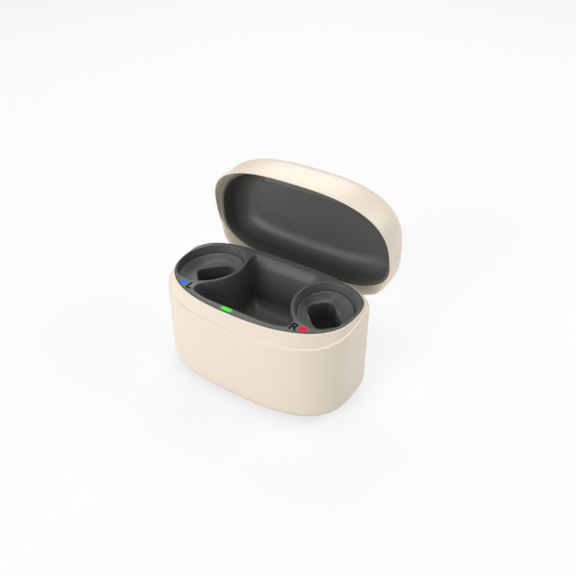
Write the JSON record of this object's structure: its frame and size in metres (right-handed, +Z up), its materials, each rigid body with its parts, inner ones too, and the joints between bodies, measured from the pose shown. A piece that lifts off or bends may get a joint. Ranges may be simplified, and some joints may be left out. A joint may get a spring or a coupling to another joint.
{
  "type": "hearing aid charger",
  "caption": "Oval clam-shell charging case with a hinged domed lid, two turned ear pockets with sprung contacts, a waisted middle well and a small status light.",
  "frame": {"origin": "on the table, under the middle of the case's outline seen from above (mount table_middle)", "axes": "+X along the case towards the right-ear pocket, -Y to the front, +Z up"},
  "size_m": [0.0764, 0.0617, 0.0725],
  "materials": {
    "cream": "smooth satin, cream",
    "dark": "fine matte, dark grey",
    "grey": "fine matte, blue grey",
    "foot_rubber": "matte",
    "blue": "gloss",
    "red": "gloss",
    "light": "clear window over a lit green light",
    "steel": "plain",
    "gold": "gold plated",
    "black": "plain",
    "board": "lacquered circuit board",
    "nickel": "nickel plated",
    "cell": "foil pouch",
    "foam": "foam",
    "wire": "insulated wire"
  },
  "bodies": {
    "base": {"base_shell": "cream", "base_cover": "grey", "base_feet": "foot_rubber", "cover_screws": "steel", "deck_tray": "dark", "pocket_cup_left": "dark", "contact_carrier_left": "black", "contact_block_left": "black", "side_dot_left": "blue", "contact_spring_left_front": "steel", "contact_spring_left_back": "steel", "pocket_cup_right": "dark", "contact_carrier_right": "black", "contact_block_right": "black", "side_dot_right": "red", "contact_spring_right_front": "steel", "contact_spring_right_back": "steel", "contact_barrels": "gold", "status_light_lens": "light", "light_board": "board", "light_chip": "black", "base_magnets": "nickel", "battery": "cell", "battery_pad": "foam", "battery_leads": "wire", "main_board": "board", "board_screws": "steel", "board_chips": "black", "port_shell": "steel", "port_tongue": "black", "hinge_pin": "steel"},
    "lid": {"lid_shell": "cream", "lid_liner": "dark", "lid_magnets": "nickel"},
    "contact_left_front": {"contact_plunger_left_front": "gold"},
    "contact_left_back": {"contact_plunger_left_back": "gold"},
    "contact_right_front": {"contact_plunger_right_front": "gold"},
    "contact_right_back": {"contact_plunger_right_back": "gold"}
  },
  "joints": [
    {"name": "lid_hinge", "type": "hinge", "parent": "base", "child": "lid", "pos_m": [0, 0.0184, 0.0319], "axis": [1, 0, 0], "range_deg": [0, 88]},
    {"name": "contact_left_front_press", "type": "slide", "parent": "base", "child": "contact_left_front", "axis": [0, 0, -1], "range_m": [0, 0.0008], "stiffness_N_per_m": 400, "deforming": ["contact_spring_left_front"]},
    {"name": "contact_left_back_press", "type": "slide", "parent": "base", "child": "contact_left_back", "axis": [0, 0, -1], "range_m": [0, 0.0008], "stiffness_N_per_m": 400, "deforming": ["contact_spring_left_back"]},
    {"name": "contact_right_front_press", "type": "slide", "parent": "base", "child": "contact_right_front", "axis": [0, 0, -1], "range_m": [0, 0.0008], "stiffness_N_per_m": 400, "deforming": ["contact_spring_right_front"]},
    {"name": "contact_right_back_press", "type": "slide", "parent": "base", "child": "contact_right_back", "axis": [0, 0, -1], "range_m": [0, 0.0008], "stiffness_N_per_m": 400, "deforming": ["contact_spring_right_back"]}
  ]
}
